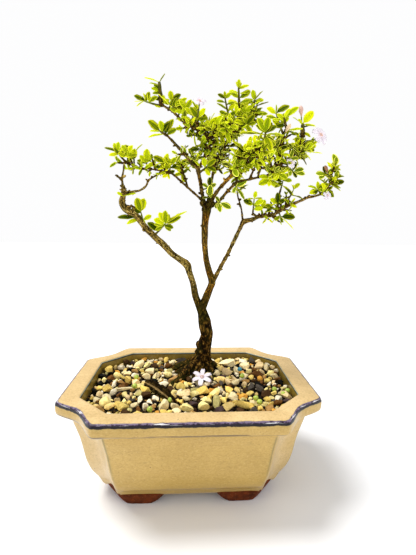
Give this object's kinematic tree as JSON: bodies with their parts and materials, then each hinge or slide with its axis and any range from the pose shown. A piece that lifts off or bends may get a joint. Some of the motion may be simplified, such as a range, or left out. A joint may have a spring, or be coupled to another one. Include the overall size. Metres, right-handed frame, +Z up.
{
  "type": "potted bonsai tree",
  "caption": "Flowering serissa bonsai with a forked, gnarled trunk and small variegated leaves, standing in a low glazed pot with cut corners, cloud feet and a gravel covering.",
  "frame": {"origin": "middle of the whole object's bounding box seen from above, at the height of the table the pot's feet stand on", "axes": "+Z up; X along the pot's long side, with the long low branch on the right at +X; -Y is the front, the side the tree is shown from"},
  "size_m": [0.211, 0.1476, 0.3074],
  "materials": {
    "pot_glaze": "beige stoneware glaze, glossy, finely speckled, darker and bluish where it breaks over the rim's edges, with bare brown clay on the feet",
    "mesh_plastic": "coarse black plastic netting",
    "soil": "dark crumbly potting soil",
    "gravel": "mixed rounded gravel, cream, tan, orange, grey and brown, matt",
    "bark": "rough ridged bark, dark and rugged at the foot, grey-tan to warm brown on the branches",
    "old_bark": "dead, dark, splintered bark",
    "leaf_bright": "bright yellow-green leaves with a thin cream margin, slightly glossy",
    "leaf_deep": "deeper green leaves with a cream margin, slightly glossy",
    "petal": "thin white petals, faintly pink in the throat",
    "bud": "dull pink to peach flower buds"
  },
  "bodies": {
    "root": {"bark_strip": "old_bark", "bud_mid": "bud", "bud_outer": "bud", "bud_top": "bud", "drainage_mesh_left": "mesh_plastic", "drainage_mesh_right": "mesh_plastic", "flower_crown": "petal", "flower_fallen": "petal", "flower_front": "petal", "flower_outer": "petal", "flower_side": "petal", "gravel": "gravel", "pot": "pot_glaze", "soil": "soil", "spray_bloom_leaves": "leaf_bright", "spray_burst_leaf": "leaf_deep", "spray_crown_left_fork": "leaf_bright", "spray_crown_left_mid": "leaf_bright", "spray_crown_left_near": "leaf_bright", "spray_crown_left_tip": "leaf_bright", "spray_fork_leaves": "leaf_bright", "spray_forward_low": "leaf_bright", "spray_forward_tip": "leaf_bright", "spray_front_low": "leaf_deep", "spray_front_mid": "leaf_bright", "spray_front_tip": "leaf_bright", "spray_inner_mid": "leaf_bright", "spray_inner_top": "leaf_bright", "spray_left_inner": "leaf_bright", "spray_left_low": "leaf_bright", "spray_left_mid": "leaf_bright", "spray_reach_front": "leaf_bright", "spray_reach_side": "leaf_bright", "spray_reach_top": "leaf_bright", "spray_rear_left": "leaf_deep", "spray_rear_mid": "leaf_deep", "spray_rear_right": "leaf_deep", "spray_right_inner": "leaf_bright", "spray_right_low": "leaf_deep", "spray_right_mid": "leaf_bright", "spray_right_near": "leaf_bright", "spray_right_out": "leaf_bright", "spray_right_tip": "leaf_bright", "spray_right_under": "leaf_deep", "spray_rise_left": "leaf_bright", "spray_rise_top": "leaf_bright", "spray_side_inner": "leaf_bright", "spray_side_joint": "leaf_deep", "spray_side_mid": "leaf_deep", "spray_side_out": "leaf_bright", "spray_side_top": "leaf_bright", "spray_side_under": "leaf_bright", "spray_side_upper": "leaf_bright", "spray_stem_leaf": "leaf_deep", "spray_tall_low": "leaf_deep", "spray_tall_top": "leaf_bright", "spray_top": "leaf_bright", "spray_top_right": "leaf_bright", "spray_twin_top": "leaf_deep", "trunk": "bark"}
  },
  "joints": []
}
